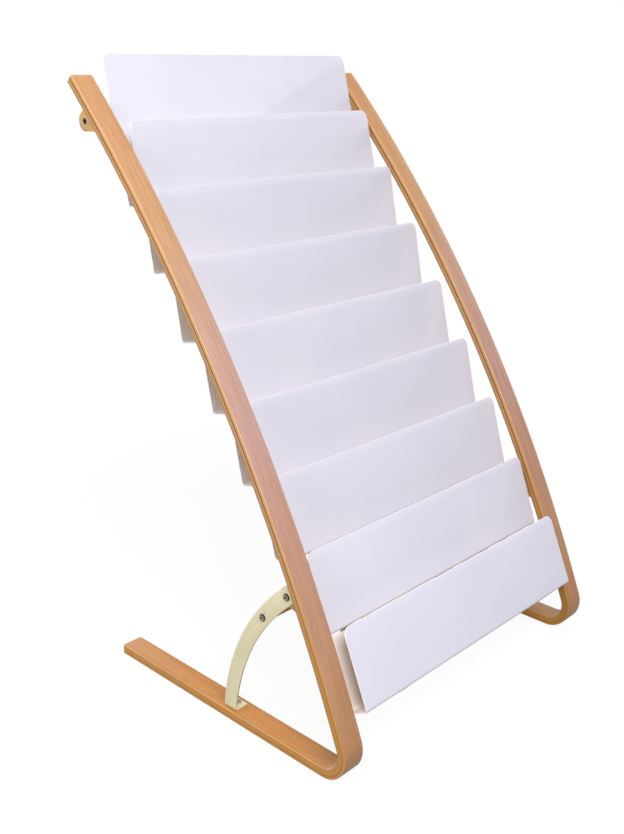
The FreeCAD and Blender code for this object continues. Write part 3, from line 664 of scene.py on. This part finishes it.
# tone of the plies on the strip's sides, from its outer face to its inner one, in millimetres; the
# upright's last ones towards its inner face are painted shade
FOOT_PLIES = (
    (0.0, colour(200, 140, 68)), (5.4, colour(198, 138, 64)), (6.6, colour(164, 112, 44)),
    (8.4, colour(164, 112, 44)), (9.4, colour(196, 138, 62)), (14.0, colour(194, 136, 60)),
    (15.2, colour(176, 124, 54)), (16.2, colour(196, 140, 66)), (18.8, colour(188, 134, 62)),
    (20.2, colour(146, 112, 66)), (22.0, colour(136, 104, 64)))
UPRIGHT_PLIES_AND_SHADE = (
    (0.0, colour(222, 172, 110)), (2.2, colour(214, 162, 100)), (3.0, colour(172, 124, 70)),
    (3.8, colour(206, 154, 92)), (7.2, colour(214, 162, 100)), (7.8, colour(96, 54, 4)),
    (10.6, colour(96, 54, 4)), (11.2, colour(212, 160, 104)), (15.5, colour(194, 146, 96)),
    (18.8, colour(176, 136, 92)), (22.0, colour(138, 110, 80)))
# share of the strip's length over which the foot's plies turn into the upright's
PLIES_CHANGE = (0.36, 0.58)
# painted highlight: how bright the strip's arrises are painted along it, from the heel to the top
ARRIS_HIGHLIGHT_ALONG = ((0.0, 0.5), (0.26, 0.5), (0.34, 0.1), (0.48, 0.15), (0.6, 0.55), (1.0, 0.6))


def new_material(name, values):
    """Material with one Principled BSDF; gives it, its Nodes and the shader node."""
    material = bpy.data.materials.new(name)
    material.use_nodes = True
    shader = material.node_tree.nodes["Principled BSDF"]
    for socket, value in values.items():
        shader.inputs[socket].default_value = value
    return material, Nodes(material.node_tree), shader


def place_of(nodes):
    """The point in the object's own metres."""
    return nodes.add("ShaderNodeTexCoord").outputs["Object"]


def grouped(nodes, shader, group, depth, **inputs):
    """Place the group, feed roughness and relief to the shader, and give its colour."""
    node = nodes.add("ShaderNodeGroup", node_tree=group)
    for name, value in inputs.items():
        nodes.feed(node, name, value)
    nodes.feed(shader, "Roughness", node.outputs["Roughness"])
    nodes.feed(shader, "Normal", nodes.bump(node.outputs["Height"], depth))
    return node.outputs["Color"]


def beech_figure(nodes, shader, place, light, flecks):
    """Grain on the place, between the light tone and a darker one made from it."""
    dark = nodes.mix(1.0, light, DARKER_GRAIN, "MULTIPLY")
    return grouped(nodes, shader, BEECH_GRAIN, PORE_DEPTH, Vector=place, Light=light, Dark=dark,
                   Fleck=BEECH_FLECK, Streaks=0.8, Flecks=flecks)


def laminated_beech():
    """Broad faces in tones with painted light, plies on the sides with painted shade, arrises
    painted bright.
    """
    material, nodes, shader = new_material("laminated_beech", SATIN)
    place = nodes.attribute("unbent", "Vector")
    along = nodes.attribute("along")
    # painted shade: the right strip is darkened all over for the shade that the trays cast on it
    tones_light_and_shade = nodes.mix(nodes.attribute("shaded_strip"), nodes.ramp(along, *STRIP_TONES_AND_LIGHT),
                      RIGHT_STRIP_SHADE, "MULTIPLY")
    face = beech_figure(nodes, shader, place, tones_light_and_shade, 0.26)
    depth = nodes.add("ShaderNodeSeparateXYZ", {0: place}).outputs["Z"]
    depth = nodes.math("DIVIDE", depth, STRIP_THICKNESS)
    # the upright's ply tones end in painted shade towards its inner face
    foot, upright = (nodes.ramp(depth, *((mm * MM / STRIP_THICKNESS, tone) for mm, tone in stops))
                     for stops in (FOOT_PLIES, UPRIGHT_PLIES_AND_SHADE))
    plies_and_shade = nodes.mix(nodes.fade(along, *PLIES_CHANGE), foot, upright)
    plies_and_shade = nodes.mix(0.12, plies_and_shade, face)
    wood = nodes.mix(nodes.fade(nodes.attribute("side"), 0.55, 0.95), face, plies_and_shade)
    # painted highlight on the arrises, brighter on the foot and towards the top
    highlight_share = nodes.ramp(along, *((at, (share, share, share, 1)) for at, share in ARRIS_HIGHLIGHT_ALONG))
    arris = nodes.math("MULTIPLY", nodes.attribute("arris"), highlight_share)
    nodes.feed(shader, "Base Color", nodes.mix(arris, wood, ARRIS_HIGHLIGHT))
    return material


def solid_beech():
    """Beech of the lugs and the rail, without the strip's plies."""
    material, nodes, shader = new_material("solid_beech", SATIN)
    nodes.feed(shader, "Base Color",
               beech_figure(nodes, shader, place_of(nodes), BEECH, 0.25))
    return material


def lacquered(nodes, shader, paint, cloud):
    """Powder coat in the paint's tone with a cloudy trace of the other."""
    return grouped(nodes, shader, POWDER_COAT, PEEL_DEPTH, Vector=place_of(nodes), Paint=paint,
                   Cloud=cloud, Peel=ORANGE_PEEL_CELLS)


def white_lacquer():
    """White with the light's lilac painted in front, a painted warm reflection inside, a painted
    highlight on the cut edges.
    """
    material, nodes, shader = new_material("white_lacquer", SATIN)
    front = lacquered(nodes, shader, FRONT_PAINT, FRONT_CLOUD)
    inside = nodes.mix(nodes.attribute("front_face"), INSIDE_WOOD_REFLECTION, front)
    nodes.feed(shader, "Base Color",
               nodes.mix(nodes.attribute("cut_edge"), inside, CUT_EDGE_HIGHLIGHT))
    return material


def cream_lacquer():
    """Cream on the broad faces, with painted shade along the edges."""
    material, nodes, shader = new_material("cream_lacquer", SATIN)
    broad = lacquered(nodes, shader, CREAM_PAINT, CREAM_CLOUD)
    edge = nodes.math("MULTIPLY", nodes.attribute("shaded_edge"), 0.75)
    nodes.feed(shader, "Base Color", nodes.mix(edge, broad, CREAM_EDGE_SHADE))
    return material


def steel(name, tint, flat_top, roughness):
    """Metal in the tint, in another tone on the flat of the heads."""
    material, nodes, shader = new_material(name, {"Metallic": 1.0})
    worn = nodes.noise(place_of(nodes), WORN_STEEL_CELLS, 3)
    plain = nodes.mix(nodes.attribute("flat_top"), tint, flat_top)
    nodes.feed(shader, "Base Color",
               nodes.mix(nodes.fade(worn, 0.35, 0.7, 0, 0.35), plain, STEEL_GRIME))
    nodes.feed(shader, "Roughness", nodes.fade(worn, 0.3, 0.7, roughness, roughness + 0.15))
    return material


MATERIALS = {
    "laminated_beech": laminated_beech(),
    "solid_beech": solid_beech(),
    "white_lacquer": white_lacquer(),
    "cream_lacquer": cream_lacquer(),
    "zinc_steel": steel("zinc_steel", colour(190, 188, 184), colour(206, 204, 200), 0.3),
    "blackened_steel": steel("blackened_steel", colour(66, 58, 44), colour(158, 148, 132), 0.32)}


# ---------------------------------------------------------------- the rack

def dress(piece, slot, *nodes):
    """Give the piece the slot's material and let it stand for the nodes."""
    piece.data.materials.clear()
    piece.data.materials.append(MATERIALS[slot])
    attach(piece, BODY)
    if nodes:
        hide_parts(*nodes)


for word, side in SIDES.items():
    dress(bent_strip(word + "_bent_strip", side), "laminated_beech", word + "_side_frame")
    for end in ("upper", "lower"):
        node = "%s_%s_lug" % (word, end)
        dress(taken_over(node, node + "_block", LUG_ARRIS), "solid_beech", node)
    node = word + "_brace"
    brace = taken_over(node, node + "_steel", BRACE_ARRIS)
    # painted shade along the brace's thin edges above that height
    marked(brace, "shaded_edge", lambda middle, normal: abs(normal.x) < 0.5
           and middle.z > BRACE_SHADE_FROM)
    dress(brace, "cream_lacquer", node)
    for node in (word + "_tray_carrier", word + "_carrier_tabs"):
        dress(taken_over(node, node + "_steel", CARRIER_ARRIS), "cream_lacquer", node)
dress(taken_over("upper_cross_tube", "cross_tube_steel", CARRIER_ARRIS), "cream_lacquer",
      "upper_cross_tube")
dress(taken_over("lower_cross_rail", "cross_rail_wood", RAIL_ARRIS, segments=4), "solid_beech",
      "lower_cross_rail")
for number in range(1, TRAYS + 1):
    dress(tray(number), "white_lacquer", "tray_%d" % number)

button = button_screw("button_screw", **BRACE_SCREW)
for node in ("lower_lug_screws", "cross_rail_screws"):
    dress(brace_screws(button, node), "blackened_steel", node)
small_button = button_screw("small_button_screw", **TRAY_SCREW)
nut = hex_nut("nut", NUT_RADIUS, NUT_HEIGHT)
bead = weld_bead("weld_bead", WELD_LENGTH)
for pattern, name, slot, depth, height in (
        (small_button, "tray_screws", "zinc_steel", TRAY_SCREW_INSET, SHEET),
        (nut, "tray_screw_nuts", "zinc_steel", TRAY_SCREW_INSET, -TAB_THICKNESS),
        (bead, "tab_welds", "cream_lacquer", TRAY_DEPTH - WELD_INSET,
         -TAB_THICKNESS - WELD_DROP)):
    dress(set_out(pattern, name, ledge_places(depth, height)), slot)
for pattern in (button, small_button, nut, bead):
    bpy.data.objects.remove(pattern)

slots = {part["node"]: part["material_slot"] for part in frame["record"]["subparts"]}
for name, node in frame["nodes"].items():
    if not node.hide_render:
        node.data.materials.clear()
        node.data.materials.append(MATERIALS[slots[name]])


# ---------------------------------------------------------------- stage, light and camera

FLOOR_RADIUS = 9
FLOOR_DROP = 0.2 * MM
FLOOR_BOUNCE = colour(132, 132, 132)
FLOOR_SEEN = colour(252, 252, 252)
NEAR_WHITE_SHARE = 0.91
WHITENING_FROM = 0.9
WHOLLY_WHITE_FROM = 2.4
HORIZON_LIGHT = 0.06
ZENITH_LIGHT = 0.36
# name, place, height of what it looks at, width, watts
LAMPS = (
    ("key", (-3.4, -5.2, 7.0), 0.7, 4.4, 640),
    ("fill", (1.8, -5.4, 5.6), 0.7, 5.0, 64),
    ("left", (-4.4, 0.7, 2.2), 0.6, 2.4, 98),
    ("right", (4.2, 0.6, 1.6), 0.7, 2.4, 50),
    ("rear", (0.8, 4.4, 0.9), 0.8, 2.2, 85))
CAMERA_PLACE = (-1.7789, -1.5976, 1.4053)
CAMERA_TURN = (73.33, 0, -45.91)
CAMERA_LENS = 44.90
CAMERA_SHIFT = (0.0042, -0.0483)


def seen_white(tree):
    """The tree's Nodes, and 1 for the camera and for mirror and glass rays."""
    nodes = Nodes(tree)
    path = nodes.add("ShaderNodeLightPath").outputs
    seen = nodes.math("ADD", path["Is Camera Ray"], path["Is Glossy Ray"], clamp=True)
    return nodes, nodes.math("ADD", seen, path["Is Transmission Ray"], clamp=True)


def emptied(owner):
    """The owner's node tree with nothing in it."""
    owner.use_nodes = True
    owner.node_tree.nodes.clear()
    return owner.node_tree


def floor():
    """Matt floor that keeps the shadow and is seen nearly white, wholly so farther out."""
    plane = added("floor", bpy.ops.mesh.primitive_circle_add, vertices=96, radius=FLOOR_RADIUS,
                  fill_type="NGON", location=(0, 0, -FLOOR_DROP))
    material = bpy.data.materials.new("pale_floor")
    nodes, seen = seen_white(emptied(material))
    reach = nodes.add("ShaderNodeVectorMath", {0: place_of(nodes)}, operation="LENGTH")
    white_share = nodes.fade(reach.outputs["Value"], WHITENING_FROM, WHOLLY_WHITE_FROM,
                             NEAR_WHITE_SHARE, 1.0)
    matt = nodes.add("ShaderNodeBsdfDiffuse", {"Color": nodes.mix(seen, FLOOR_BOUNCE, FLOOR_SEEN)})
    white = nodes.add("ShaderNodeEmission", {"Strength": 1.0})
    mixed = nodes.add("ShaderNodeMixShader", {0: nodes.math("MULTIPLY", seen, white_share),
                                              1: matt.outputs[0], 2: white.outputs[0]})
    nodes.add("ShaderNodeOutputMaterial", {"Surface": mixed.outputs[0]})
    plane.data.materials.append(material)


def world():
    """Soft light that grows towards the zenith."""
    made = bpy.data.worlds.new("studio")
    nodes, seen = seen_white(emptied(made))
    heading = nodes.add("ShaderNodeTexCoord").outputs["Generated"]
    height = nodes.add("ShaderNodeSeparateXYZ", {0: heading}).outputs["Z"]
    soft = nodes.add("ShaderNodeBackground", {
        "Color": (1, 1, 1, 1), "Strength": nodes.fade(height, 0, 0.8, HORIZON_LIGHT, ZENITH_LIGHT)})
    white = nodes.add("ShaderNodeBackground", {"Color": (1, 1, 1, 1), "Strength": 1.0})
    mixed = nodes.add("ShaderNodeMixShader", {0: seen, 1: soft.outputs[0], 2: white.outputs[0]})
    nodes.add("ShaderNodeOutputWorld", {"Surface": mixed.outputs[0]})
    bpy.context.scene.world = made


def lamp(name, place, aim_height, size, power):
    """Square area lamp that looks at a point above the origin."""
    data = bpy.data.lights.new(name, "AREA")
    data.size = size
    data.energy = power
    made = bpy.data.objects.new(name, data)
    made.location = place
    aim = Vector((0, 0, aim_height)) - Vector(place)
    made.rotation_euler = aim.to_track_quat("-Z", "Y").to_euler()
    bpy.context.scene.collection.objects.link(made)


def camera():
    """Camera off the rack's left front, nearly as high as its top."""
    data = bpy.data.cameras.new("camera")
    data.sensor_width = 36
    data.lens = CAMERA_LENS
    data.shift_x, data.shift_y = CAMERA_SHIFT
    data.clip_start = 0.05
    data.clip_end = 50
    view = bpy.data.objects.new("camera", data)
    view.location = CAMERA_PLACE
    view.rotation_euler = tuple(math.radians(turn) for turn in CAMERA_TURN)
    bpy.context.scene.collection.objects.link(view)
    bpy.context.scene.camera = view


floor()
world()
for values in LAMPS:
    lamp(*values)
camera()
bpy.context.scene.view_settings.view_transform = "Standard"
